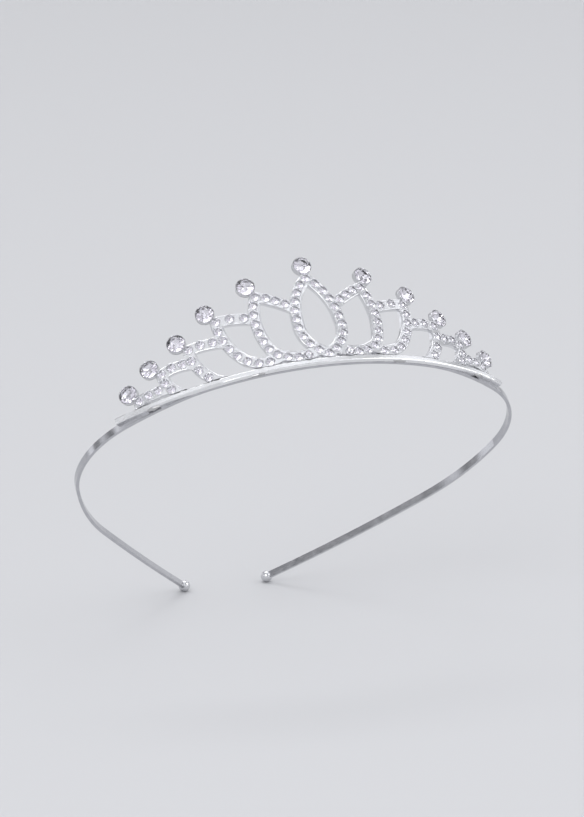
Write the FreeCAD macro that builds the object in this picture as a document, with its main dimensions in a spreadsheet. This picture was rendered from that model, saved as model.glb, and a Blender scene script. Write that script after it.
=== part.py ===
import FreeCAD, Part
import math
import os
import Sketcher
from FreeCAD import Placement, Rotation, Vector

# Bridal tiara: a springy silver headband, a base rail soldered on its front, and a crown of
# eleven stone-set petals, each tipped with a larger crystal in its own cup.
#
# Every form is drawn in the headband's own frame: Z is the axis of the curved front, the front
# is -Y, and z = 0 is the middle of the band's width there.  A last placement tilts each piece
# to the worn attitude, with the point midway between the two tip balls at the origin.

SIZES = {
    # headband: front arc, shoulder, bowed arm and straight end, all tangent
    "band_radius": 93.0,
    "band_front_angle": 40.25,
    "shoulder_radius": 28.2,
    "shoulder_angle": 67.1,
    "bow_radius": 84.8,
    "bow_angle": 22.4,
    "tip_spacing": 28.0,
    "band_thickness": 1.0,
    "band_width": 2.1,
    # its side profile: level behind the rail, a short bend down, then one long rising sweep
    "dip_start_angle": 23.5,
    "dip_radius": 27.5,
    "dip_angle": 7.7,
    "rise_radius": 452.0,
    "wear_tilt": 47.5,
    "tip_ball_diameter": 3.7,
    # base rail and its solder
    "rail_height": 1.9,
    "rail_thickness": 1.4,
    "rail_half_angle": 41.5,
    "rail_edge_radius": 0.45,
    "solder_angle": 34.0,
    "solder_length": 4.2,
    "solder_end_radius": 0.25,
    "tack_angle": 14.0,
    # petals and their stones
    "frame_width": 3.5,
    "frame_thickness": 1.4,
    "foot_bite": 0.15,
    "stone_diameter": 2.7,
    "stone_gap": 0.3,
    "stone_offset": 0.3,
    "stone_pavilion": 1.05,
    "stone_crown": 0.45,
    "stone_table": 1.6,
    "crystal_diameter": 5.2,
    "crystal_pavilion": 1.25,
    "crystal_girdle": 0.2,
    "crystal_crown": 0.9,
    "crystal_table": 2.9,
    "cup_wall": 0.35,
    "cup_foot_diameter": 5.6,
    "cup_depth": 1.9,
    "cup_rim": 0.3,
    "cup_gap": 0.05,
    "seat_clearance": 0.03,
    # centre petal: half its width, and heights above the line on which the petals' feet rest
    "centre_top_height": 26.5,
    "centre_half_width": 6.6,
    "centre_waist_height": 11.4,
    "centre_upper_bow": 1.75,
    "centre_lower_bow": 2.3,
}

# side petals, from the centre outwards: where the top arm leaves the neighbour, the corner, the
# heel where the outer arm turns under, the toe, how far the cup leans out of the corner, and
# the bow (rise over the chord) of each arc; a turn is in degrees round the crown from its
# middle, and a height is above the line on which the petals' feet rest
PETAL_COLUMNS = ("start_turn", "start_height", "corner_turn", "corner_height",
                 "heel_turn", "heel_height", "toe_turn", "toe_height", "cup_lean",
                 "top_bow", "side_bow", "foot_bow")
PETAL_ROWS = (
    (3.0, 15.4, 10.35, 22.5, 10.2, 2.8, 2.4, 0.8, 27.0, 0.45, 2.2, 1.8),
    (10.9, 14.5, 18.6, 17.0, 15.3, 2.0, 8.6, 1.4, 35.0, 0.6, 1.7, 1.7),
    (17.6, 9.6, 24.8, 10.6, 22.7, 0.3, 18.85, -3.5, 43.0, 0.5, 1.1, 0.8),
    (24.0, 5.4, 30.7, 5.85, 29.7, 0.2, 26.75, -3.6, 47.0, 0.9, 0.5, 0.7),
    (29.2, 0.8, 36.0, 0.25, 36.2, -2.0, 35.6, -3.8, 39.0, 0.15, 0.05, 0.05),
)

STONE_SIDES = 8                # facets round a small stone, and sides of its seat
CRYSTAL_SIDES = 8              # main facets round a large crystal
WALK_STEPS = 400               # points at which a row's centre line is measured

doc = FreeCAD.newDocument("Tiara")
nodes = []
sheet = doc.addObject("Spreadsheet::Sheet", "Sizes")


def fillSheet():
    """Write every driving size into the sheet under its own alias."""
    named = dict(SIZES)
    for number, row in enumerate(PETAL_ROWS, 1):
        for column, value in zip(PETAL_COLUMNS, row):
            named["petal_%s_%s" % ("abcde"[number - 1], column)] = value
    for line, (name, value) in enumerate(named.items(), 1):
        sheet.set("A%d" % line, name)
        sheet.set("B%d" % line, str(value))
        sheet.setAlias("B%d" % line, name)
    doc.recompute()


class Size:
    """A number from the sheet together with the expression that yields it."""

    def __init__(self, value, text):
        self.value = value
        self.text = text

    def mix(self, other, sign, value):
        return Size(value, "(%s %s %s)" % (self.text, sign, asSize(other).text))

    def __add__(self, other):
        return self.mix(other, "+", self.value + asSize(other).value)

    def __sub__(self, other):
        return self.mix(other, "-", self.value - asSize(other).value)

    def __mul__(self, other):
        return self.mix(other, "*", self.value * asSize(other).value)

    def __truediv__(self, other):
        return self.mix(other, "/", self.value / asSize(other).value)

    def __neg__(self):
        return Size(-self.value, "(-%s)" % self.text)


def asSize(number):
    return number if isinstance(number, Size) else Size(float(number), repr(float(number)))


def size(name):
    return Size(float(sheet.get(name)), "Sizes." + name)


def sine(angle):
    return Size(math.sin(math.radians(angle.value)), "sin(%s)" % angle.text)


def cosine(angle):
    return Size(math.cos(math.radians(angle.value)), "cos(%s)" % angle.text)


def squareRoot(number):
    return Size(math.sqrt(number.value), "sqrt(%s)" % number.text)


def bind(thing, **properties):
    """Drive properties of an object with sizes; a double underscore stands for a dot."""
    for name, value in properties.items():
        thing.setExpression(name.replace("__", "."), asSize(value).text)


def add(kind, name, **links):
    thing = doc.addObject(kind, name)
    for key, value in links.items():
        setattr(thing, key, value)
    return thing


def bowRadius(start, end, bow):
    """Radius of the arc between two points that rises `bow` over its chord."""
    across = end[0] - start[0]
    along = end[1] - start[1]
    return (across * across + along * along) / (bow * 8) + bow / 2


def arcBetween(start, end, radius, left):
    """Arc from start to end, bulging to the left or right of the way it runs."""
    middle = (start + end) / 2
    chord = end - start
    side = Vector(-chord.y, chord.x, 0).normalize() * (1 if left else -1)
    depth = math.sqrt(max(radius ** 2 - (chord.Length / 2) ** 2, 0))
    return Part.Arc(start, middle + side * (radius - depth), end)


def place(sketch, geometry, end, across, along):
    """Hold one end of a curve at a distance from the sketch's origin on each axis."""
    for kind, axis, value in (("DistanceX", -2, across), ("DistanceY", -1, along)):
        value = asSize(value)
        if abs(value.value) < 1e-9:
            sketch.addConstraint(Sketcher.Constraint("PointOnObject", geometry, end, axis))
            continue
        points = (-1, 1, geometry, end) if value.value > 0 else (geometry, end, -1, 1)
        signed = value if value.value > 0 else -value
        index = sketch.addConstraint(Sketcher.Constraint(kind, *points, signed.value))
        sketch.setExpression("Constraints[%d]" % index, signed.text)


def chain(sketch, start, steps):
    """Draw joined arcs and lines; a step is (across, along, radius or None, bulge side)."""
    corner = lambda pair: Vector(asSize(pair[0]).value, asSize(pair[1]).value, 0)
    here = start
    for number, (across, along, radius, left) in enumerate(steps):
        there = (across, along)
        if radius is None:
            curve = Part.LineSegment(corner(here), corner(there))
        else:
            curve = arcBetween(corner(here), corner(there), radius.value, left)
        index = sketch.addGeometry(curve, False)
        backwards = radius is not None and corner(here).distanceToPoint(
            sketch.getPoint(index, 1)) > 1e-6
        first, last = (2, 1) if backwards else (1, 2)
        if number == 0:
            place(sketch, index, first, *start)
        else:
            sketch.addConstraint(Sketcher.Constraint("Coincident", *previous, index, first))
        place(sketch, index, last, across, along)
        if radius is not None:
            bound = sketch.addConstraint(Sketcher.Constraint("Radius", index, radius.value))
            sketch.setExpression("Constraints[%d]" % bound, radius.text)
        previous = (index, last)
        here = there


FRONT = Placement(Vector(), Rotation(Vector(1, 0, 0), 90))       # X across, Y up the crown
SIDE = Placement(Vector(), Rotation(Vector(1, 1, 1), 120))       # X along world Y, Y up


def newSketch(name, placement=Placement()):
    return add("Sketcher::SketchObject", name, Placement=placement)


def ribbon(name, sketch, width):
    """A flat band of one width along a drawn centre line."""
    band = add("Part::Offset2D", name, Source=sketch, Mode="Pipe", Join="Arc", Fill=True)
    bind(band, Value=width / 2)
    return band


def extrude(name, base, direction, forward, backward=0):
    solid = add("Part::Extrusion", name, Base=base, DirMode="Custom", Dir=direction, Solid=True)
    bind(solid, LengthFwd=forward, LengthRev=backward)
    return solid


def cut(name, base, tool):
    return add("Part::Cut", name, Base=base, Tool=tool)


def common(name, base, tool):
    return add("Part::Common", name, Base=base, Tool=tool)


def turned(name, things, angle):
    """Carry pieces made at the front round the crown, towards +X."""
    group = add("Part::Compound", name, Links=things)
    bind(group, Placement__Rotation__Angle=angle)
    return group


def mirrored(name, source):
    return add("Part::Mirroring", name, Source=source, Normal=Vector(1, 0, 0))


def cylinder(name, radius, low, high):
    body = add("Part::Cylinder", name)
    bind(body, Radius=radius, Height=high - low, Placement__Base__z=low)
    return body


def sheetNumbers():
    return {name: size(name) for name in SIZES}


fillSheet()
at = sheetNumbers()
bandFace = at["band_radius"] + at["band_thickness"] / 2
railInner = bandFace + at["seat_clearance"]
railRadius = railInner + at["rail_thickness"] / 2
railOuter = railInner + at["rail_thickness"]
railTop = at["rail_height"] / 2
footLine = railTop + at["frame_width"] / 2 - at["foot_bite"]
panelInner = railRadius - at["frame_thickness"] / 2
panelOuter = railRadius + at["frame_thickness"] / 2
stoneSpan = at["stone_diameter"] / 2
crystalSpan = at["crystal_diameter"] / 2
cupReach = crystalSpan + at["cup_wall"] + at["cup_gap"] + stoneSpan
cupRim = panelInner + at["cup_depth"]
girdleRadius = cupRim - at["cup_rim"] - at["crystal_girdle"]

# where the plan of one arm runs, in x and y
frontX = at["band_radius"] * sine(at["band_front_angle"])
frontY = -at["band_radius"] * cosine(at["band_front_angle"])
shoulderTurn = at["band_front_angle"] + at["shoulder_angle"]
shoulderX = frontX + at["shoulder_radius"] * (sine(shoulderTurn) - sine(at["band_front_angle"]))
shoulderY = frontY + at["shoulder_radius"] * (cosine(at["band_front_angle"])
                                              - cosine(shoulderTurn))
armTurn = shoulderTurn + at["bow_angle"]
armX = shoulderX + at["bow_radius"] * (sine(armTurn) - sine(shoulderTurn))
armY = shoulderY + at["bow_radius"] * (cosine(shoulderTurn) - cosine(armTurn))
tipX = at["tip_spacing"] / 2
tipY = armY - (armX - tipX) * sine(armTurn) / cosine(armTurn)

# where the side profile of the arms runs, in y and z
levelY = -at["band_radius"] * cosine(at["dip_start_angle"])
dipY = levelY + at["dip_radius"] * sine(at["dip_angle"])
dipZ = -at["dip_radius"] * (-cosine(at["dip_angle"]) + 1)
tipSlope = (tipY - dipY) / at["rise_radius"] - sine(at["dip_angle"])
tipZ = dipZ + at["rise_radius"] * (cosine(at["dip_angle"]) - squareRoot(-tipSlope * tipSlope + 1))


def headband():
    """One flat strip: its plan seen from above, met by its gently dipping side profile."""
    plan = newSketch("band_plan")
    arm = [(shoulderX, shoulderY, at["shoulder_radius"], False),
           (armX, armY, at["bow_radius"], False),
           (tipX, tipY, None, False)]
    other = [(-armX, armY, None, False),
             (-shoulderX, shoulderY, at["bow_radius"], False),
             (-frontX, frontY, at["shoulder_radius"], False),
             (frontX, frontY, at["band_radius"], False)]
    chain(plan, (-tipX, tipY), other + arm)
    tall = at["band_width"] - dipZ + at["rise_radius"] * (-cosine(at["dip_angle"]) + 1)
    planSolid = extrude("band_plan_solid", ribbon("band_plan_ribbon", plan, at["band_thickness"]),
                        Vector(0, 0, 1), tall, tall)
    profile = newSketch("band_profile", SIDE)
    chain(profile, (-railRadius, 0),
          [(levelY, 0, None, False),
           (dipY, dipZ, at["dip_radius"], True),
           (tipY, tipZ, at["rise_radius"], False)])
    wide = at["band_radius"]
    profileSolid = extrude("band_profile_solid", ribbon("band_side_ribbon", profile,
                                                        at["band_width"]),
                           Vector(1, 0, 0), wide, wide)
    return common("headband_form", planSolid, profileSolid)


def tipBall(band):
    """A ball on the strip's end, hollowed to the strip that enters it."""
    ball = add("Part::Sphere", "tip_ball_sphere")
    bind(ball, Radius=at["tip_ball_diameter"] / 2, Placement__Base__x=tipX,
         Placement__Base__y=tipY, Placement__Base__z=tipZ)
    return cut("tip_ball_form", ball, band)


def baseRail():
    """A bar with rounded outer edges, turned about the crown's axis."""
    body = doc.addObject("PartDesign::Body", "base_rail_body")
    plane = next(item for item in body.Origin.OriginFeatures if item.Role == "YZ_Plane")
    section = body.newObject("Sketcher::SketchObject", "rail_section")
    section.AttachmentSupport = [(plane, "")]
    section.MapMode = "FlatFace"
    doc.recompute()
    edge = at["rail_edge_radius"]
    chain(section, (-railInner, railTop),
          [(-railOuter + edge, railTop, None, False),
           (-railOuter, railTop - edge, edge, False),
           (-railOuter, -railTop + edge, None, False),
           (-railOuter + edge, -railTop, edge, False),
           (-railInner, -railTop, None, False),
           (-railInner, railTop, None, False)])
    turn = body.newObject("PartDesign::Revolution", "rail_turn")
    turn.Profile = section
    turn.ReferenceAxis = (section, ["V_Axis"])
    turn.Midplane = True
    bind(turn, Angle=at["rail_half_angle"] * 2)
    doc.recompute()
    return body


def solderBead(name, angle, band, rail):
    """A bead of solder drawn along the rail's underside, thinning towards both ends."""
    half = add("Part::Cone", name + "_half",
               Placement=Placement(Vector(), Rotation(Vector(0, 1, 0), 90)))
    bind(half, Radius1=at["rail_thickness"] / 2, Radius2=at["solder_end_radius"],
         Height=at["solder_length"] / 2, Placement__Base__y=-railRadius,
         Placement__Base__z=-railTop)
    bead = add("Part::MultiFuse", name + "_bead", Shapes=[half, mirrored(name + "_other", half)])
    clear = cut(name + "_clear", turned(name + "_turned", [bead], angle), band)
    return cut(name + "_form", clear, rail)


def petalSizes(number):
    letter = "abcde"[number - 1]
    return {column: size("petal_%s_%s" % (letter, column)) for column in PETAL_COLUMNS}


def roundCrown(turn):
    """Distance along the crown that belongs to a turn."""
    return turn * (math.pi / 180) * railRadius


def pushed(name, face, angle):
    """Push a drawn petal out from the crown's axis, turned to its place."""
    solid = extrude(name, face, Vector(0, -1, 0), panelOuter + at["frame_thickness"])
    solid.Placement.Rotation.Axis = Vector(0, 0, 1)
    bind(solid, Placement__Rotation__Angle=angle)
    return solid


def petalBlank(name, start, steps, angle, shell):
    """A petal's frame bent to the crown's curve, its window, and its centre line."""
    line = newSketch(name + "_line", FRONT)
    chain(line, start, steps)
    outline = newSketch(name + "_window_line", FRONT)
    chain(outline, start, steps + [(*start, None, False)])
    solid = pushed(name + "_push", ribbon(name + "_ribbon", line, at["frame_width"]), angle)
    window = pushed(name + "_window", outline, angle)
    return common(name + "_bent", solid, shell), window, line


def alongCrown(angle, across, height, radius):
    """Placement on the crown: local -Y points outwards."""
    turn = math.radians(angle) + math.asin(across / radius)
    where = Vector(radius * math.sin(turn), -radius * math.cos(turn), height)
    return Placement(where, Rotation(Vector(0, 0, 1), math.degrees(turn)))


class Row:
    """A petal's centre line, measured so that stones can be spread along it."""

    def __init__(self, line, start, angle):
        first = Vector(asSize(start[0]).value, 0, asSize(start[1]).value)
        self.points = line.Shape.Wires[0].discretize(Number=WALK_STEPS)
        if self.points[0].distanceToPoint(first) > self.points[-1].distanceToPoint(first):
            self.points.reverse()
        self.step = (self.points[1] - self.points[0]).Length
        self.angle = angle.value
        self.trace = [self.onCrown(point) for point in self.points]

    def onCrown(self, point):
        """Distance round the crown and height of a point of the flat drawing."""
        turn = math.radians(self.angle) + math.asin(point.x / railRadius.value)
        return Vector(turn * railRadius.value, point.z, 0)

    def nearest(self, place):
        """Index of the centre line's point nearest to a place of the flat drawing."""
        gaps = [point.distanceToPoint(place) for point in self.points]
        return gaps.index(min(gaps))

    def clear(self, index, neighbour):
        """Whether a stone fits there, beside the neighbouring petal and above the rail."""
        margin = at["seat_clearance"].value
        spot = self.trace[index]
        room = at["frame_width"].value / 2 + stoneSpan.value + margin
        beside = neighbour is None or min(spot.distanceToPoint(other)
                                          for other in neighbour.trace) > room
        lowest = (railTop.value + stoneSpan.value + at["stone_offset"].value
                  - at["foot_bite"].value)
        return beside and spot.y > lowest

    def spread(self, corner, way, neighbour):
        """Indices of the stones on one side of the corner, spaced evenly over the free run."""
        last = corner
        while 0 <= last + way < len(self.points) and self.clear(last + way, neighbour):
            last += way
        free = abs(last - corner)
        count = int(free * self.step // (stoneSpan.value * 2 + at["stone_gap"].value))
        return [corner + way * round(free * k / count) for k in range(1, count + 1)]

    def seat(self, index, offset):
        """Placement of a stone beside the centre line, towards the petal's outer edge."""
        before = self.points[max(index - 1, 0)]
        after = self.points[min(index + 1, len(self.points) - 1)]
        along = (after - before).normalize()
        point = self.points[index] + Vector(-along.z, 0, along.x) * offset
        return alongCrown(self.angle, point.x, point.z, panelOuter.value)

    def seats(self, corner, neighbour=None):
        """Every stone's placement: one in the corner, and a run down each side of it."""
        at_corner = self.nearest(corner)
        beside = self.spread(at_corner, -1, neighbour) + self.spread(at_corner, 1, neighbour)
        offset = at["stone_offset"].value
        return [self.seat(at_corner, 0)] + [self.seat(index, offset) for index in beside]


def ring(radius, depth, count, turn=0.0):
    """Corner points of a regular polygon facing -Y at a depth."""
    return [Vector(radius * math.cos(2 * math.pi * (k + turn) / count), -depth,
                   radius * math.sin(2 * math.pi * (k + turn) / count)) for k in range(count)]


def facetedSolid(faces):
    shell = Part.Shell([Part.Face(Part.makePolygon(list(face) + [face[0]])) for face in faces])
    return Part.Solid(shell)


def cutStone(diameter, count, table, crown, girdle, pavilion):
    """A brilliant facing -Y: table, main and break facets, girdle, pavilion to a culet."""
    top = ring(table / 2, girdle + crown, count, 0.5)
    high = ring(diameter / 2, girdle, 2 * count)
    low = ring(diameter / 2, 0, 2 * count)
    culet = Vector(0, pavilion, 0)
    faces = [top]
    for k in range(count):
        g = 2 * k
        faces.append((top[k], high[g], high[(g + 1) % (2 * count)]))
        faces.append((top[k], high[(g + 1) % (2 * count)], high[(g + 2) % (2 * count)]))
        faces.append((top[k], high[(g + 2) % (2 * count)], top[(k + 1) % count]))
    for k in range(2 * count):
        n = (k + 1) % (2 * count)
        faces.append((high[k], low[k], low[n], high[n]))
        faces.append((low[k], culet, low[n]))
    return facetedSolid(faces)


def plainStone(diameter, count, table, crown, pavilion):
    """A small stone facing -Y with one facet per side on its crown and on its pavilion."""
    top = ring(table / 2, crown, count)
    edge = ring(diameter / 2, 0, count)
    culet = Vector(0, pavilion, 0)
    faces = [top]
    for k in range(count):
        n = (k + 1) % count
        faces.append((top[k], edge[k], edge[n], top[n]))
        faces.append((edge[k], culet, edge[n]))
    return facetedSolid(faces)


def pit(radius, depth, lift, count, straight):
    """What a stone's seat takes away: a faceted point, and a straight or widening mouth."""
    edge = ring(radius, 0, count)
    mouth = ring(radius if straight else radius * (1 + lift / depth), lift, count)
    tip = Vector(0, depth, 0)
    faces = [mouth]
    for k in range(count):
        n = (k + 1) % count
        faces.append((mouth[k], edge[k], edge[n], mouth[n]))
        faces.append((edge[k], tip, edge[n]))
    return facetedSolid(faces)


def stoneRow(name, seats):
    """The small stones of one petal, and the tool that drills their seats."""
    pavilion = at["stone_pavilion"].value
    clearance = at["seat_clearance"].value
    span = stoneSpan.value
    stone = plainStone(span * 2, STONE_SIDES, at["stone_table"].value, at["stone_crown"].value,
                       pavilion)
    drill = pit(span + clearance, pavilion + clearance, clearance, STONE_SIDES, False)
    row = add("Part::Feature", name + "_form")
    row.Shape = Part.makeCompound([stone.transformed(seat.toMatrix(), copy=True)
                                   for seat in seats])
    drills = add("Part::Feature", name + "_drills")
    drills.Shape = Part.makeCompound([drill.transformed(seat.toMatrix(), copy=True)
                                      for seat in seats])
    return row, drills


def crystalCup(name, angle, height):
    """A shallow cup with a faceted seat; returns its plug too, which cuts the petal's socket."""
    plug = add("Part::Cone", name + "_plug",
               Placement=Placement(Vector(), Rotation(Vector(1, 0, 0), 90)))
    bind(plug, Radius1=at["cup_foot_diameter"] / 2, Radius2=crystalSpan + at["cup_wall"],
         Height=at["cup_depth"], Placement__Base__y=-panelInner, Placement__Base__z=height)
    socket = turned(name + "_socket", [plug], angle)
    clearance = at["seat_clearance"].value
    hollow = add("Part::Feature", name + "_hollow")
    hollow.Shape = pit(crystalSpan.value + clearance, at["crystal_pavilion"].value + clearance,
                       at["cup_depth"].value, 2 * CRYSTAL_SIDES, True)
    hollow.Placement = alongCrown(angle.value, 0, height.value, girdleRadius.value)
    return cut(name + "_form", socket, hollow), socket


def largeCrystal(name, angle, height):
    gem = add("Part::Feature", name + "_form")
    gem.Shape = cutStone(at["crystal_diameter"].value, CRYSTAL_SIDES, at["crystal_table"].value,
                         at["crystal_crown"].value, at["crystal_girdle"].value,
                         at["crystal_pavilion"].value)
    gem.Placement = alongCrown(angle.value, 0, height.value, girdleRadius.value)
    return gem


def node(label, *forms):
    """Tilt finished pieces to the worn attitude under the name they are known by."""
    piece = add("Part::Compound", "node_" + label, Links=list(forms))
    piece.Label = label
    piece.Placement = Placement(Vector(), Rotation(Vector(-1, 0, 0), 1))
    tilt = at["wear_tilt"]
    bind(piece, Placement__Rotation__Angle=tilt,
         Placement__Base__y=-(tipY * cosine(tilt) + tipZ * sine(tilt)),
         Placement__Base__z=tipY * sine(tilt) - tipZ * cosine(tilt))
    nodes.append(piece)
    return piece


def nodePair(label, form):
    """The piece as drawn on the right, and its mirror image on the left."""
    node(label % "right", form)
    node(label % "left", mirrored(form.Name + "_left", form))


def crown():
    """The eleven petals, from the centre one outwards, each trimmed to the one before."""
    top = (asSize(0), footLine + at["centre_top_height"])
    waist = (at["centre_half_width"], footLine + at["centre_waist_height"])
    foot = (asSize(0), footLine)
    crystalHeight = top[1] + cupReach
    shellTop = crystalHeight + at["crystal_diameter"]
    shell = cut("crown_shell", cylinder("shell_outer", panelOuter, railTop, shellTop),
                cylinder("shell_inner", panelInner, railTop, shellTop))

    # centre petal: one half drawn, the other its mirror image
    steps = [(*waist, bowRadius(top, waist, at["centre_upper_bow"]), True),
             (*foot, bowRadius(waist, foot, at["centre_lower_bow"]), True)]
    half, window, line = petalBlank("petal_centre", top, steps, asSize(0), shell)
    whole = add("Part::MultiFuse", "petal_centre_whole",
                Shapes=[half, mirrored("petal_centre_half", half)])
    cup, socket = crystalCup("cup_centre", asSize(0), crystalHeight)
    doc.recompute()
    centre = Row(line, top, asSize(0))
    seats = centre.seats(Vector(0, 0, top[1].value))
    seats += [Placement(Vector(-seat.Base.x, seat.Base.y, seat.Base.z), seat.Rotation.inverted())
              for seat in seats if seat.Base.x > stoneSpan.value]
    row, drills = stoneRow("stones_centre", seats)
    form = cut("petal_centre_seated", cut("petal_centre_socket", whole, socket), drills)
    node("petal_centre", form)
    node("stones_centre", row)
    node("cup_centre", cup)
    node("crystal_centre", largeCrystal("crystal_centre", asSize(0), crystalHeight))

    neighbour = (whole, window, centre)
    for number in range(1, len(PETAL_ROWS) + 1):
        neighbour = sidePetal(number, neighbour, shell)


def sidePetal(number, neighbour, shell):
    """One petal and its mirror image; returns what the next petal is trimmed to."""
    petal = petalSizes(number)
    mark = "_%d" % number
    lean = petal["cup_lean"]
    cupAlong = roundCrown(petal["corner_turn"]) + cupReach * sine(lean)
    cupHeight = footLine + petal["corner_height"] + cupReach * cosine(lean)
    angle = cupAlong / railRadius * (180 / math.pi)
    point = {key: (roundCrown(petal[key + "_turn"]) - cupAlong,
                   footLine + petal[key + "_height"])
             for key in ("start", "corner", "heel", "toe")}
    start, corner, heel, toe = (point[key] for key in ("start", "corner", "heel", "toe"))
    steps = [(*corner, bowRadius(start, corner, petal["top_bow"]), True),
             (*heel, bowRadius(corner, heel, petal["side_bow"]), True),
             (*toe, bowRadius(heel, toe, petal["foot_bow"]), True)]
    blank, window, line = petalBlank("petal" + mark, start, steps, angle, shell)
    cup, socket = crystalCup("cup" + mark, angle, cupHeight)
    doc.recompute()
    besideFrame, besideWindow, besideRow = neighbour
    trimmed = cut("petal_trimmed" + mark, cut("petal_shortened" + mark, blank, besideFrame),
                  besideWindow)
    measured = Row(line, start, angle)
    seats = measured.seats(Vector(corner[0].value, 0, corner[1].value), besideRow)
    row, drills = stoneRow("stones" + mark, seats)
    form = cut("petal_seated" + mark, cut("petal_socket" + mark, trimmed, socket), drills)
    nodePair("petal_%s" + mark, form)
    nodePair("stones_%s" + mark, row)
    nodePair("cup_%s" + mark, cup)
    nodePair("crystal_%s" + mark, largeCrystal("crystal" + mark, angle, cupHeight))
    return blank, window, measured


band = headband()
rail = baseRail()
node("headband", band)
node("base_rail", rail)
nodePair("tip_ball_%s", tipBall(band))
nodePair("solder_%s", solderBead("solder", at["solder_angle"], band, rail))
tack = solderBead("tack", at["tack_angle"], band, rail)
node("solder_tacks", tack, mirrored("tack_left", tack))
crown()
doc.recompute()

os.makedirs("parts", exist_ok=True)
for thing in doc.Objects:
    if "Invalid" in thing.State or "Error" in thing.State:
        raise RuntimeError("%s failed to build" % thing.Name)
for piece in nodes:
    if piece.Shape.isNull() or not piece.Shape.isValid() or not piece.Shape.Solids:
        raise RuntimeError("%s has no valid solid" % piece.Label)
for piece in nodes:
    piece.Shape.exportStep("parts/%s.step" % piece.Label)
print("%d nodes, %d solids" % (len(nodes), sum(len(piece.Shape.Solids) for piece in nodes)))
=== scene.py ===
import bpy
import bmesh
import math
import random
from mathutils import Matrix, Vector
from mathutils.kdtree import KDTree


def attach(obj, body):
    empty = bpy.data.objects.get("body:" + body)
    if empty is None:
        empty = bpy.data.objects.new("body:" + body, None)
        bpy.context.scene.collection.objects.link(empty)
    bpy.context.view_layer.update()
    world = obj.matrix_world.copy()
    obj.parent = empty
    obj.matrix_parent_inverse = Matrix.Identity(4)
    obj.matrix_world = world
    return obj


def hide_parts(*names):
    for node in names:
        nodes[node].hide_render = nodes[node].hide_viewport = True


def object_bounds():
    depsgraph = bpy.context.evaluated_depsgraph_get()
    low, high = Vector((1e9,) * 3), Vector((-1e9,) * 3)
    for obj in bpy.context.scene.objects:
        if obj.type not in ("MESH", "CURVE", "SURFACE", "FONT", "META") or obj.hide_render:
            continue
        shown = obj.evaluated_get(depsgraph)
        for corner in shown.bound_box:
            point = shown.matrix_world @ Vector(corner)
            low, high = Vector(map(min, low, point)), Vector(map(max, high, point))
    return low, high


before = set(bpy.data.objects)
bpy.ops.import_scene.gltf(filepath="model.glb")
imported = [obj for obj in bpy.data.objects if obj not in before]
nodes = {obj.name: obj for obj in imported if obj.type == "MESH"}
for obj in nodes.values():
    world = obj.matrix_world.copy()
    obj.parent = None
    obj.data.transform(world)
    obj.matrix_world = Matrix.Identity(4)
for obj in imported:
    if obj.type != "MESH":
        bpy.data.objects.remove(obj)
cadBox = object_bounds()
mm = 0.001
weldGap = 1e-6    # metres, corners closer than this are one
random.seed(7)


def linear(hexColour):
    # sRGB hex to the linear colour that the shaders want
    channels = [int(hexColour[i:i + 2], 16) / 255 for i in (1, 3, 5)]
    return tuple(c / 12.92 if c <= 0.04045 else ((c + 0.055) / 1.055) ** 2.4
                 for c in channels) + (1.0,)


def addNode(tree, kind, settings=None, links=None):
    # settings: socket or property name to value; links: socket name to another node's output
    node = tree.nodes.new(kind)
    for name, value in (settings or {}).items():
        if isinstance(name, int) or name in node.inputs:
            node.inputs[name].default_value = value
        else:
            setattr(node, name, value)
    for name, output in (links or {}).items():
        tree.links.new(output, node.inputs[name])
    return node


def newMaterial(name):
    material = bpy.data.materials.new(name)
    material.use_nodes = True
    tree = material.node_tree
    tree.nodes.clear()
    output = addNode(tree, "ShaderNodeOutputMaterial")
    return material, tree, output


def millimetres(tree):
    # object coordinates in millimetres, so pattern sizes below are real ones
    place = addNode(tree, "ShaderNodeTexCoord")
    return addNode(tree, "ShaderNodeVectorMath", {"operation": "SCALE", "Scale": 1 / mm},
                   {0: place.outputs["Object"]}).outputs[0]


platingLook = {
    "tone": "#E4E4E6",
    "shade": "#C9CACD",
    "roughness": (0.10, 0.20),
    "cloudSize": 2.5,       # mm, soft patches where the plating was handled
    "grainSize": 0.12,      # mm, polishing grain, coarse enough to show
    "grainDepth": 0.004,    # mm
    "grainStrength": 0.35,
}


def silverPlating(name, look):
    # rhodium-bright silver plating over brass, tumble polished: a white mirror that is never
    # quite even, so its highlights break up softly
    material, tree, output = newMaterial(name)
    where = millimetres(tree)
    cloud = addNode(tree, "ShaderNodeTexNoise", {"Scale": 1 / look["cloudSize"], "Detail": 4.0},
                    {"Vector": where})
    grain = addNode(tree, "ShaderNodeTexNoise", {"Scale": 1 / look["grainSize"], "Detail": 2.0},
                    {"Vector": where})
    tone = addNode(tree, "ShaderNodeMix", {"data_type": "RGBA", 6: linear(look["shade"]),
                                           7: linear(look["tone"])}, {0: cloud.outputs["Fac"]})
    rough = addNode(tree, "ShaderNodeMapRange",
                    {"To Min": look["roughness"][0], "To Max": look["roughness"][1]},
                    {"Value": cloud.outputs["Fac"]})
    bump = addNode(tree, "ShaderNodeBump", {"Strength": look["grainStrength"],
                                            "Distance": look["grainDepth"] * mm},
                   {"Height": grain.outputs["Fac"]})
    metal = addNode(tree, "ShaderNodeBsdfPrincipled", {"Metallic": 1.0},
                    {"Base Color": tone.outputs[2], "Roughness": rough.outputs["Result"],
                     "Normal": bump.outputs["Normal"]})
    tree.links.new(metal.outputs[0], output.inputs[0])
    return material


crystalLook = {"tone": "#FBFBFE", "index": 1.56}


def crystalGlass(name):
    # clear machine-cut lead crystal, flame polished: sharp facets that bend light strongly, and
    # almost no colour
    material, tree, output = newMaterial(name)
    glass = addNode(tree, "ShaderNodeBsdfPrincipled",
                    {"Base Color": linear(crystalLook["tone"]), "Roughness": 0.0,
                     "IOR": crystalLook["index"], "Transmission Weight": 1.0})
    tree.links.new(glass.outputs[0], output.inputs[0])
    return material


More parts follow.
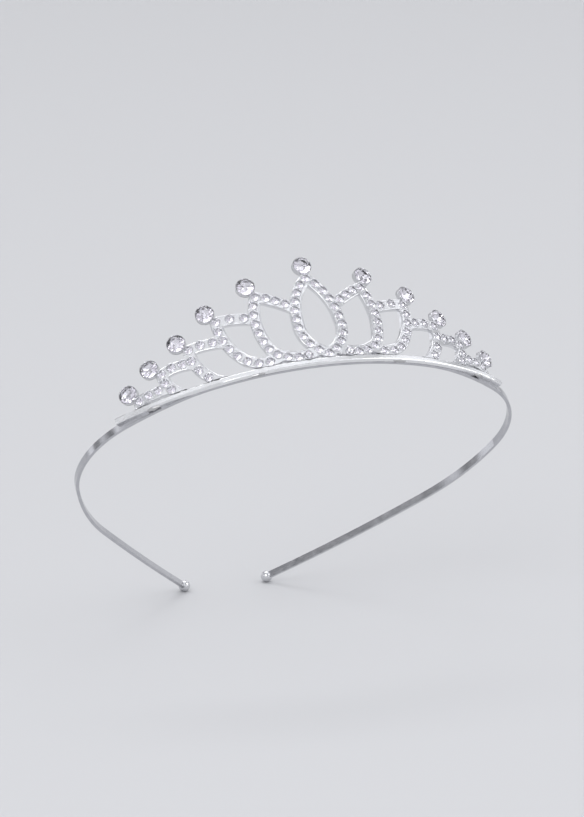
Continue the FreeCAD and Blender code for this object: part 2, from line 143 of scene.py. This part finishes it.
foilLook = {"tone": "#F1EFF2", "roughness": 0.05}


def foilBack(name):
    # silvered foil on the stone's back: each back facet is a small mirror, and the stone sparkles
    material, tree, output = newMaterial(name)
    foil = addNode(tree, "ShaderNodeBsdfPrincipled",
                   {"Base Color": linear(foilLook["tone"]), "Metallic": 1.0,
                    "Roughness": foilLook["roughness"]})
    tree.links.new(foil.outputs[0], output.inputs[0])
    return material


plating = silverPlating("silverPlatingPolished", platingLook)
castPlating = silverPlating("silverPlatingCast", dict(platingLook, roughness=(0.16, 0.30),
                                                      tone="#F1F1F3", shade="#DCDDDF",
                                                      grainSize=0.2, grainDepth=0.012))
# painted highlight: the rail's copy of the plating is painted whiter, for the rail lit straight on
railPlatingPaintedLight = silverPlating("silverPlatingRailPaintedLight", dict(platingLook, roughness=(0.20, 0.30),
                                                      tone="#F6F6F7", shade="#E8E9EA"))
# painted shade: the headband strip's copy of the plating is painted darker, for the strip lying
# behind the rail and mirroring dark surroundings
stripPlatingPaintedShade = silverPlating("silverPlatingStripPaintedShade", dict(platingLook, roughness=(0.12, 0.22),
                                                        tone="#D2D2D5", shade="#B4B5B9"))
solderTin = silverPlating("tinSolder", dict(platingLook, roughness=(0.25, 0.4), tone="#C8C8C8",
                                            shade="#A8A8AA", grainSize=0.5, grainDepth=0.05))
glass = crystalGlass("leadCrystal")
foil = foilBack("silverFoil")

cutShape = {
    # fractions of the stone's radius, apart from the number of sides; grow and lift are in mm,
    # against the plain stones of the frame
    "large": {"sides": 8, "table": 0.50, "star": 0.74, "crown": 0.34, "girdle": 0.05,
              "culet": 0.20, "pavilion": 0.60, "grow": 0.12, "lift": 0.35},
    "small": {"sides": 8, "table": 0.55, "star": 0.78, "crown": 0.34, "girdle": 0.06,
              "culet": 0.06, "pavilion": 0.72, "grow": 0.0, "lift": 0.0},
    "flat": {"sides": 8, "table": 0.42, "star": 0.70, "crown": 0.42, "girdle": 0.06,
             "culet": 0.12, "pavilion": 0.30},
}
facetShares = {
    "starHeight": 0.62,    # of the crown's height
    "halvesInset": 0.08,   # of the radius, inwards from halfway to the culet
    "mostSpin": 0.8,       # radians by which a stone is turned in its seat
}


def brilliant(mesh, radius, shape, place):
    # table, stars, kites and halves above the girdle, mains and halves below it
    n = shape["sides"]
    spin = random.uniform(0, facetShares["mostSpin"])

    def ring(r, depth, count, turn):
        points = []
        for k in range(count):
            a = 2 * math.pi * (k + turn) / count + spin
            points.append(mesh.verts.new(place @ Vector((r * radius * math.cos(a),
                                                         r * radius * math.sin(a),
                                                         depth * radius))))
        return points
    top = ring(shape["table"], shape["crown"] + shape["girdle"], n, 0.5)
    star = ring(shape["star"], shape["crown"] * facetShares["starHeight"] + shape["girdle"], n, 0.0)
    high = ring(1.0, shape["girdle"], 2 * n, 0.0)
    low = ring(1.0, 0.0, 2 * n, 0.0)
    halfway = (1 + shape["culet"]) / 2 - facetShares["halvesInset"]
    slope = shape["pavilion"] / (1 - shape["culet"])
    deep = ring(halfway, -slope * (1 - halfway), n, 0.5)
    culet = ring(shape["culet"], -shape["pavilion"], n, 0.0)
    crown = [mesh.faces.new(top)]
    foils = []
    for k in range(n):
        before = (k - 1) % n
        crown.append(mesh.faces.new((top[before], star[k], top[k])))
        crown.append(mesh.faces.new((top[k], star[k], high[(2 * k + 1) % (2 * n)])))
        crown.append(mesh.faces.new((top[k], high[(2 * k + 1) % (2 * n)], star[(k + 1) % n])))
        crown.append(mesh.faces.new((star[k], high[2 * k], high[(2 * k + 1) % (2 * n)])))
        crown.append(mesh.faces.new((star[k], high[(2 * k - 1) % (2 * n)], high[2 * k])))
    for k in range(2 * n):
        follow = (k + 1) % (2 * n)
        crown.append(mesh.faces.new((high[k], low[k], low[follow], high[follow])))
    for k in range(n):
        odd = (2 * k + 1) % (2 * n)
        foils.append(mesh.faces.new((low[2 * k], deep[k], low[odd])))
        foils.append(mesh.faces.new((low[odd], deep[k], low[(2 * k + 2) % (2 * n)])))
        foils.append(mesh.faces.new((low[2 * k], deep[(k - 1) % n], culet[k], deep[k])))
        foils.append(mesh.faces.new((deep[k], culet[k], culet[(k + 1) % n])))
    foils.append(mesh.faces.new(culet))
    for face in crown:
        face.material_index = 0
    for face in foils:
        face.material_index = 1


def islands(node):
    # corner points of each separate solid in a CAD node
    source = nodes[node].data
    mesh = bmesh.new()
    mesh.from_mesh(source)
    bmesh.ops.remove_doubles(mesh, verts=mesh.verts, dist=weldGap)
    seen = set()
    groups = []
    for vert in mesh.verts:
        if vert in seen:
            continue
        stack = [vert]
        faces = set()
        group = []
        while stack:
            here = stack.pop()
            if here in seen:
                continue
            seen.add(here)
            group.append(here)
            faces.update(here.link_faces)
            stack.extend(edge.other_vert(here) for edge in here.link_edges)
        areas = {}
        for face in faces:
            key = tuple(round(c, 2) for c in face.normal)
            areas[key] = areas.get(key, 0) + face.calc_area()
        outward = Vector(max(areas, key=areas.get)).normalized()
        groups.append(([v.co.copy() for v in group], outward))
    mesh.free()
    return groups


girdleShare = 0.98    # corners beyond this share of the radius belong to the girdle


def stonePlace(points, outward):
    # the stone's girdle plane from its corners: its tip is the lowest, its girdle the widest
    centre = sum(points, Vector()) / len(points)
    axis = outward
    radial = [(p - centre) - axis * (p - centre).dot(axis) for p in points]
    radius = max(r.length for r in radial)
    girdle = [p for p, r in zip(points, radial) if r.length > radius * girdleShare]
    level = min(g.dot(axis) for g in girdle)
    middle = sum(girdle, Vector()) / len(girdle)
    middle += axis * (level - middle.dot(axis))
    return middle, axis, radius


def settled(middle, axis):
    turn = axis.to_track_quat("Z", "Y").to_matrix().to_4x4()
    return Matrix.Translation(middle) @ turn


def finishMesh(mesh, name, materials, smooth=False):
    bmesh.ops.recalc_face_normals(mesh, faces=mesh.faces)
    data = bpy.data.meshes.new(name)
    mesh.to_mesh(data)
    mesh.free()
    for material in materials:
        data.materials.append(material)
    for polygon in data.polygons:
        polygon.use_smooth = smooth
    piece = bpy.data.objects.new(name, data)
    bpy.context.scene.collection.objects.link(piece)
    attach(piece, "root")
    return piece


def turnedRing(mesh, place, profile, segments, closed=True):
    # a profile of radius and height in metres, turned about the stone's axis
    loops = []
    for k in range(segments):
        a = 2 * math.pi * k / segments
        loops.append([mesh.verts.new(place @ Vector((r * math.cos(a), r * math.sin(a), z)))
                      for r, z in profile])
    spans = len(profile) if closed else len(profile) - 1
    for k in range(segments):
        here, there = loops[k], loops[(k + 1) % segments]
        for i in range(spans):
            j = (i + 1) % len(profile)
            mesh.faces.new((here[i], here[j], there[j], there[i]))
    return loops


rimShape = {
    "wall": 0.22,    # mm
    "section": ((1.0, -0.25), (1.0, 0.14), (0.6, 0.28), (0.0, 0.252), (-0.2, 0.168),
                (0.0, -0.25)),    # share of the wall outwards, and height in mm
    "segments": 24,
}


def stoneRim(mesh, place, radius):
    # a thin rolled rim of plating round a small stone
    wall = rimShape["wall"] * mm
    profile = [(radius + wall * share, height * mm) for share, height in rimShape["section"]]
    turnedRing(mesh, place, profile, rimShape["segments"])


grainShape = {"radius": 0.28, "beside": 1.0, "reach": 3.5, "sunk": 0.05}    # mm


def settingGrains(mesh, places):
    # small round grains of metal raised between two neighbouring stones, one on each side
    for i, first in enumerate(places):
        for second in places[i + 1:]:
            along = second.translation - first.translation
            if along.length > grainShape["reach"] * mm:
                continue
            outward = first.to_3x3() @ Vector((0, 0, 1))
            beside = along.normalized().cross(outward)
            middle = (first.translation + second.translation) / 2
            middle -= outward * grainShape["sunk"] * mm
            for side in (-1, 1):
                spot = middle + beside * side * grainShape["beside"] * mm
                bmesh.ops.create_icosphere(mesh, subdivisions=2, radius=grainShape["radius"] * mm,
                                           matrix=Matrix.Translation(spot))


cupShape = {
    "lip": 0.12, "chamfer": 0.3, "seatGap": 0.03,    # mm
    # the lip's section, in lips: outwards from the wall's face, and below the front
    "inside": ((0.0, 1.4), (0.4, 0.3), (1.0, 0.0)),
    "outside": ((-1.0, 0.0), (-0.3, 0.3), (0.0, 1.2)),
    "segments": 48,
}


def stoneCup(place, radius, cup):
    # the crystal's cup: a turned wall with a rolled lip over the girdle and a hidden conical seat
    inverse = place.inverted()
    corners = [inverse @ v.co for v in nodes[cup].data.vertices]
    outer = max(math.hypot(c.x, c.y) for c in corners)
    back, front = min(c.z for c in corners), max(c.z for c in corners)
    lip, chamfer = cupShape["lip"] * mm, cupShape["chamfer"] * mm
    low = -cutShape["large"]["pavilion"] * radius - cupShape["seatGap"] * mm
    mesh = bmesh.new()
    profile = [(cutShape["large"]["culet"] * radius, low), (radius, 0.0)]
    profile += [(radius + lip * out, front - lip * down) for out, down in cupShape["inside"]]
    profile += [(outer + lip * out, front - lip * down) for out, down in cupShape["outside"]]
    profile += [(outer, back + chamfer), (outer - chamfer, back)]
    loops = turnedRing(mesh, place, profile, cupShape["segments"], closed=False)
    mesh.faces.new([loop[0] for loop in loops])
    mesh.faces.new([loop[-1] for loop in loops])
    piece = finishMesh(mesh, "turned_" + cup, [plating], smooth=True)
    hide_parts(cup)


stoneWays = []    # each stone's place and the way it faces, for the petals' edges
rowsOf = {}       # the same, node by node
footStone = {"step": 3.05, "rise": 0.40, "footBand": 1.0}    # mm


def addFootStone(side, radius):
    # one more small stone at the foot of the first petal, a step from its last one towards the
    # centre petal's lowest stone
    centreRow, sideRow = (rowsOf["stones_" + name] for name in ("centre", side + "_1"))
    up = centreRow[0][1].cross(sideRow[0][1]).normalized()
    up *= math.copysign(1, up.z)
    foot = min(middle.dot(up) for middle, way in sideRow)
    low = [stone for stone in sideRow if stone[0].dot(up) < foot + footStone["footBand"] * mm]
    last, lastWay = min(low, key=lambda stone: abs(stone[0].x))
    lowest, lowestWay = min(centreRow, key=lambda stone: stone[0].dot(up))
    share = footStone["step"] * mm / (lowest - last).length
    way = lastWay.lerp(lowestWay, share).normalized()
    place = settled(last.lerp(lowest, share) + way * footStone["rise"] * mm, way)
    gem, rim = bmesh.new(), bmesh.new()
    brilliant(gem, radius, cutShape["flat"], place)
    stoneRim(rim, place, radius)
    finishMesh(gem, "cut_foot_stone_" + side, [glass, foil])
    finishMesh(rim, "rim_foot_stone_" + side, [plating], smooth=True)


def cutStones():
    for node in sorted(nodes):
        kind = "large" if node.startswith("crystal") else "small"
        if not node.startswith(("crystal", "stones")):
            continue
        gems = bmesh.new()
        rims = bmesh.new()
        places = []
        for points, outward in islands(node):
            middle, axis, radius = stonePlace(points, outward)
            radius += cutShape[kind]["grow"] * mm
            place = settled(middle + axis * cutShape[kind]["lift"] * mm, axis)
            places.append(place)
            stoneWays.append((middle, axis))
            rowsOf.setdefault(node, []).append((middle, axis))
            brilliant(gems, radius, cutShape[kind], place)
            if kind == "small":
                stoneRim(rims, place, radius)
            else:
                stoneCup(place, radius, node.replace("crystal", "cup"))
        settingGrains(rims, places)
        piece = finishMesh(gems, "cut_" + node, [glass, foil])
        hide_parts(node)
        if kind == "small":
            finishMesh(rims, "rims_" + node, [plating], smooth=True)
        else:
            rims.free()
    for side in ("left", "right"):
        addFootStone(side, radius)    # as large as the last row's stones
    print("stones cut")


lipShape = {
    "radius": 0.26, "step": 0.45, "clearOfOthers": 0.5,    # mm
    "inset": 0.84,         # of the radius, from the corner into the metal
    "shortest": 0.4,       # of a step, for the last length of a run
    "sides": 8,
    "sharp": 55,           # degrees between front and side wall, at least
    "frontAim": 0.9, "wallAim": 0.3,    # how squarely the front and the wall must face
}


def facingAt(point, ways):
    # the way outward at a point of a petal: that of the nearest stone
    return stoneWays[ways.find(point)[1]][1]


def frontEdges(node, ways):
    # runs of points along the sharp outer edges of a petal's front, each with its way outward
    # and its way off the side wall
    mesh = bmesh.new()
    mesh.from_mesh(nodes[node].data)
    bmesh.ops.remove_doubles(mesh, verts=mesh.verts, dist=weldGap)
    sharp = math.radians(lipShape["sharp"])
    corners = {}
    for edge in mesh.edges:
        if len(edge.link_faces) != 2 or edge.calc_face_angle(0) < sharp:
            continue
        outward = facingAt(edge.verts[0].co, ways)
        wall, front = sorted(edge.link_faces, key=lambda face: face.normal.dot(outward))
        if front.normal.dot(outward) < lipShape["frontAim"]:
            continue
        if abs(wall.normal.dot(outward)) > lipShape["wallAim"]:
            continue
        for vert in edge.verts:
            corners.setdefault(vert, []).append((edge, front.normal.copy(), wall.normal.copy()))
    runs = []
    used = set()
    starts = [vert for vert in corners if len(corners[vert]) != 2] + list(corners)
    for start in starts:
        for edge, front, wall in corners[start]:
            if edge in used:
                continue
            here, run = start, []
            while True:
                run.append((here.co.copy(), front, wall))
                used.add(edge)
                here = edge.other_vert(here)
                following = [link for link in corners[here] if link[0] not in used]
                if not following or len(corners[here]) != 2:
                    run.append((here.co.copy(), front, wall))
                    break
                edge, front, wall = following[0]
            runs.append(run)
    mesh.free()
    return runs


def spaced(run, step):
    # the same run with points at least one step apart
    kept = [run[0]]
    for entry in run[1:-1]:
        if (entry[0] - kept[-1][0]).length >= step:
            kept.append(entry)
    if (run[-1][0] - kept[-1][0]).length < step * lipShape["shortest"] and len(kept) > 1:
        kept.pop()
    kept.append(run[-1])
    return kept


def sweptLip(mesh, run):
    # a round wire sunk into the corner, so that it shows as a rounded edge
    radius, inset, sides = lipShape["radius"] * mm, lipShape["inset"], lipShape["sides"]
    loops = []
    for i, (point, front, wall) in enumerate(run):
        before, after = run[max(i - 1, 0)][0], run[min(i + 1, len(run) - 1)][0]
        along = (after - before).normalized()
        out = (front - along * front.dot(along)).normalized()
        across = along.cross(out)
        centre = point - (front + wall).normalized() * radius * inset
        loops.append([mesh.verts.new(centre + out * radius * math.cos(2 * math.pi * k / sides)
                                     + across * radius * math.sin(2 * math.pi * k / sides))
                      for k in range(sides)])
    for here, there in zip(loops, loops[1:]):
        for k in range(sides):
            mesh.faces.new((here[k], here[(k + 1) % sides], there[(k + 1) % sides], there[k]))
    mesh.faces.new(loops[0])
    mesh.faces.new(loops[-1])


def nearestOf(points):
    tree = KDTree(len(points))
    for i, point in enumerate(points):
        tree.insert(point, i)
    tree.balance()
    return tree


def petalLips():
    petals = [node for node in sorted(nodes) if node.startswith("petal")]
    ways = nearestOf([place for place, way in stoneWays])
    for node in petals:
        tree = nearestOf([v.co for other in petals + ["base_rail"] if other != node
                          for v in nodes[other].data.vertices])
        mesh = bmesh.new()
        for run in frontEdges(node, ways):
            piece = []
            for entry in spaced(run, lipShape["step"] * mm) + [None]:
                if entry and tree.find(entry[0])[2] > lipShape["clearOfOthers"] * mm:
                    piece.append(entry)
                    continue
                if len(piece) > 2:
                    sweptLip(mesh, piece)
                piece = []
        finishMesh(mesh, "lip_" + node, [plating], smooth=True)
    print("petal edges rounded")


def platedMetal():
    # the base rail takes the whiter copy of the plating, a painted highlight
    # the headband strip takes the darker copy of the plating, painted shade
    finishes = (("headband", stripPlatingPaintedShade), ("base_rail", railPlatingPaintedLight), ("solder", solderTin),
                ("tip_ball", plating), ("petal", castPlating))
    for node in nodes:
        for start, material in finishes:
            if node.startswith(start):
                nodes[node].data.materials.clear()
                nodes[node].data.materials.append(material)
    print("metal plated")


cameraSetting = {
    "place": (-569.0, -1473.9, 515.4),    # mm
    "turn": 21.86, "tip": 16.17, "roll": 0.48,   # degrees
    "focal": 229.9, "sensor": 36.0,              # mm
    "clipStart": 0.01,                           # metres
}


def makeCamera():
    data = bpy.data.cameras.new("camera")
    data.sensor_width = cameraSetting["sensor"]
    data.lens = cameraSetting["focal"]
    data.clip_start = cameraSetting["clipStart"]
    camera = bpy.data.objects.new("camera", data)
    turn, tip, roll = (math.radians(cameraSetting[k]) for k in ("turn", "tip", "roll"))
    ahead = Vector((math.sin(turn) * math.cos(tip), math.cos(turn) * math.cos(tip), -math.sin(tip)))
    right = ahead.cross(Vector((0, 0, 1))).normalized()
    up = right.cross(ahead)
    rolledRight = right * math.cos(roll) + up * math.sin(roll)
    rolledUp = up * math.cos(roll) - right * math.sin(roll)
    matrix = Matrix((rolledRight, rolledUp, -ahead)).transposed().to_4x4()
    matrix.translation = Vector(cameraSetting["place"]) * mm
    camera.matrix_world = matrix
    bpy.context.scene.collection.objects.link(camera)
    bpy.context.scene.camera = camera


stageLook = {"floor": "#BEBFC3", "wall": "#CFD0D4", "reach": 6.0, "roughness": 0.6}    # metres


def makeStage():
    # smooth board with flat emulsion paint: no gloss, and soft shadows
    material, tree, output = newMaterial("palePaintedFloor")
    paint = addNode(tree, "ShaderNodeBsdfPrincipled", {"Base Color": linear(stageLook["floor"]),
                                                       "Roughness": stageLook["roughness"]})
    tree.links.new(paint.outputs[0], output.inputs[0])
    mesh = bmesh.new()
    bmesh.ops.create_grid(mesh, x_segments=1, y_segments=1, size=stageLook["reach"])
    data = bpy.data.meshes.new("floor")
    mesh.to_mesh(data)
    mesh.free()
    data.materials.append(material)
    floor = bpy.data.objects.new("floor", data)
    floor.location = (0, 0, cadBox[0].z)
    bpy.context.scene.collection.objects.link(floor)


lampSetting = {
    # name: place in metres, width, height, watts
    "keySoftbox": ((-0.9, -1.1, 1.3), 0.8, 0.8, 9.0),
    "fillSoftbox": ((1.2, -0.7, 0.9), 0.7, 1.0, 4.0),
    "topStrip": ((0.1, 0.6, 1.5), 1.2, 0.4, 5.0),
}


# strengths: of the soft light all round, and of the pale wall and the darker flags before it
# that metal and glass mirror
studioLook = {"light": 0.92, "wall": 1.83, "flag": 0.35, "flagScale": 5.5, "edge": (0.38, 0.52)}


def makeLamps():
    aim = (cadBox[0] + cadBox[1]) / 2
    for name, (place, width, height, power) in lampSetting.items():
        data = bpy.data.lights.new(name, "AREA")
        data.shape = "RECTANGLE"
        data.size = width
        data.size_y = height
        data.energy = power
        lamp = bpy.data.objects.new(name, data)
        lamp.location = place
        lamp.rotation_euler = (aim - Vector(place)).to_track_quat("-Z", "Y").to_euler()
        bpy.context.scene.collection.objects.link(lamp)
    world = bpy.data.worlds.new("studio")
    world.use_nodes = True
    tree = world.node_tree
    tree.nodes.clear()
    output = addNode(tree, "ShaderNodeOutputWorld")
    path = addNode(tree, "ShaderNodeLightPath")
    place = addNode(tree, "ShaderNodeTexCoord")
    cloud = addNode(tree, "ShaderNodeTexNoise", {"Scale": studioLook["flagScale"], "Detail": 1.0},
                    {"Vector": place.outputs["Generated"]})
    tone = addNode(tree, "ShaderNodeMapRange", {"From Min": studioLook["edge"][0],
                                                "From Max": studioLook["edge"][1],
                                                "To Min": studioLook["flag"],
                                                "To Max": studioLook["wall"]},
                   {"Value": cloud.outputs["Fac"]})
    mirrored = addNode(tree, "ShaderNodeMath", {"operation": "MAXIMUM"},
                       {0: path.outputs["Is Glossy Ray"], 1: path.outputs["Is Transmission Ray"]})
    seen = addNode(tree, "ShaderNodeMath", {"operation": "MAXIMUM"},
                   {0: path.outputs["Is Camera Ray"], 1: mirrored.outputs[0]})
    strength = addNode(tree, "ShaderNodeMix", {3: 1.0},
                       {0: path.outputs["Is Camera Ray"], 2: tone.outputs["Result"]})
    wall = addNode(tree, "ShaderNodeBackground", {"Color": linear(stageLook["wall"])},
                   {"Strength": strength.outputs[0]})
    light = addNode(tree, "ShaderNodeBackground", {"Color": (1, 1, 1, 1),
                                                   "Strength": studioLook["light"]})
    mix = addNode(tree, "ShaderNodeMixShader", {}, {0: seen.outputs[0], 1: light.outputs[0],
                                                    2: wall.outputs[0]})
    tree.links.new(mix.outputs[0], output.inputs[0])
    bpy.context.scene.world = world
    bpy.context.scene.view_settings.view_transform = "Standard"


platedMetal()
cutStones()
petalLips()
makeStage()
makeLamps()
makeCamera()
print("stage ready")
